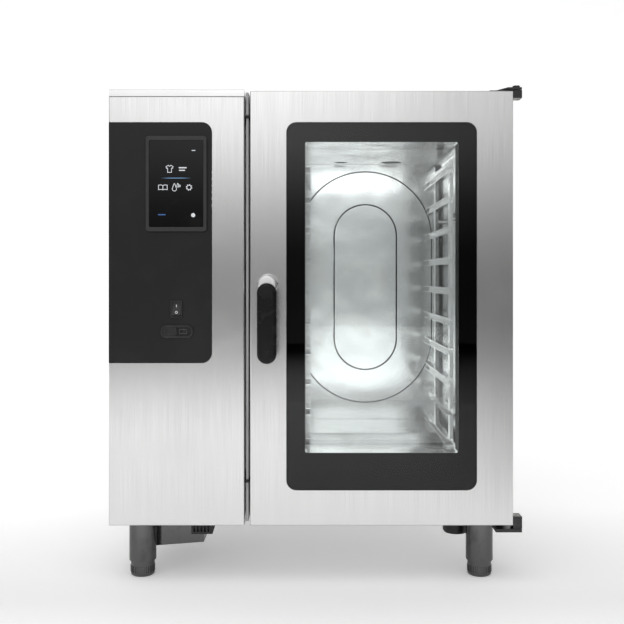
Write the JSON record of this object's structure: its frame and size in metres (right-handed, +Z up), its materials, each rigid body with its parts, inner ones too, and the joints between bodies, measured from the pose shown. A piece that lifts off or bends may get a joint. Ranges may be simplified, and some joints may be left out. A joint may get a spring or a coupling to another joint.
{
  "type": "combi steamer oven",
  "caption": "Counter-top combi steamer oven with a control column at left, a right-hinged double-glazed door, a turning door handle, tray racks, a fan behind the air guide and levelling feet.",
  "frame": {"origin": "on the floor under the middle of the object's box, feet, handle, hinges and rear stubs included", "axes": "+X to the right seen from the front, +Y to the rear, +Z up"},
  "size_m": [0.8946, 0.884, 1.114],
  "materials": {
    "stainless_brushed": "vertical brushed stainless sheet",
    "stainless_polished": "bright stainless sheet",
    "black_panel": "black printed sheet",
    "bezel_black": "satin black moulding",
    "display_glass": null,
    "black_plastic": "satin black moulding",
    "port_metal": "plated socket shell",
    "trim_plastic": "grey extruded trim",
    "black_rubber": "matt rubber",
    "mineral_wool": "mineral wool board",
    "element_steel": "heat-stained sheathed element",
    "motor_cast": "cast motor housing",
    "clear_glass": "clear tempered glass",
    "black_print": "black enamel print",
    "brass": "turned brass thread",
    "screw_steel": "stainless screws",
    "shaft_steel": "turned steel",
    "foot_steel": "dark satin steel",
    "hinge_dark": "blackened steel",
    "chrome": "polished chrome",
    "bush_plastic": "white bearing plastic"
  },
  "bodies": {
    "casing": {"base_tray": "stainless_brushed", "left_side_panel": "stainless_brushed", "right_side_panel": "stainless_brushed", "rear_panel": "stainless_brushed", "top_cover": "stainless_brushed", "front_frame": "stainless_polished", "control_panel_skin": "stainless_brushed", "control_fascia": "black_panel", "touch_bezel": "bezel_black", "touch_screen": "display_glass", "switch_housing": "black_plastic", "usb_bezel": "black_plastic", "usb_port": "port_metal", "gap_trim": "trim_plastic", "gap_seals": "black_rubber", "chamber_shell": "stainless_polished", "chamber_insulation": "mineral_wool", "rear_baffle": "stainless_polished", "suction_panel": "stainless_polished", "suction_cover": "stainless_polished", "chamber_studs": "stainless_polished", "heating_element": "element_steel", "fan_motor": "motor_cast", "rack_left": "stainless_polished", "rack_right": "stainless_polished", "door_gasket": "black_rubber", "lamp_glass": "clear_glass", "drain_box": "stainless_polished", "floor_plate": "stainless_polished", "vent_pipes": "stainless_polished", "water_injector": "stainless_polished", "water_inlets": "brass", "cable_gland": "black_plastic", "intake_duct": "foot_steel", "intake_filter": "black_plastic", "drip_drain": "black_plastic", "foot_sleeves": "foot_steel", "hinge_brackets": "hinge_dark", "latch_keeper": "stainless_polished", "panel_screws": "screw_steel"},
    "door": {"door_skin": "stainless_brushed", "door_inner_frame": "stainless_polished", "outer_glass": "clear_glass", "glass_border": "black_print", "inner_glass": "clear_glass", "inner_glass_clips": "stainless_polished", "door_hinge_leaves": "hinge_dark", "hinge_bushes": "bush_plastic", "handle_boss": "chrome"},
    "handle": {"handle_lever": "chrome", "handle_grip": "black_plastic", "latch_spindle": "shaft_steel"},
    "rocker": {"switch_rocker": "black_plastic"},
    "usb_lid": {"usb_slider": "black_plastic"},
    "fan": {"fan_wheel": "stainless_polished", "fan_shaft": "shaft_steel"},
    "foot_fl": {"foot_front_left": "foot_steel"},
    "foot_fr": {"foot_front_right": "foot_steel"},
    "foot_rl": {"foot_rear_left": "foot_steel"},
    "foot_rr": {"foot_rear_right": "foot_steel"}
  },
  "joints": [
    {"name": "door_swing", "type": "hinge", "parent": "casing", "child": "door", "pos_m": [0.4375, -0.362, 0.6], "axis": [0, 0, 1], "range_deg": [0, 130]},
    {"name": "handle_turn", "type": "hinge", "parent": "door", "child": "handle", "pos_m": [-0.10275, -0.4, 0.651], "axis": [0, 1, 0], "range_deg": [0, 180]},
    {"name": "rocker_tilt", "type": "hinge", "parent": "casing", "child": "rocker", "pos_m": [-0.30025, -0.3785, 0.5965], "axis": [1, 0, 0], "range_deg": [0, 16]},
    {"name": "usb_lid_slide", "type": "slide", "parent": "casing", "child": "usb_lid", "axis": [1, 0, 0], "range_m": [0, 0.03]},
    {"name": "fan_spin", "type": "hinge", "parent": "casing", "child": "fan", "pos_m": [0.143, 0.252, 0.638], "axis": [0, 1, 0], "continuous": true},
    {"name": "front_left_foot_screw", "type": "slide", "parent": "casing", "child": "foot_fl", "axis": [0, 0, -1], "range_m": [0, 0.025]},
    {"name": "front_right_foot_screw", "type": "slide", "parent": "casing", "child": "foot_fr", "axis": [0, 0, -1], "range_m": [0, 0.025]},
    {"name": "rear_left_foot_screw", "type": "slide", "parent": "casing", "child": "foot_rl", "axis": [0, 0, -1], "range_m": [0, 0.025]},
    {"name": "rear_right_foot_screw", "type": "slide", "parent": "casing", "child": "foot_rr", "axis": [0, 0, -1], "range_m": [0, 0.025]}
  ]
}
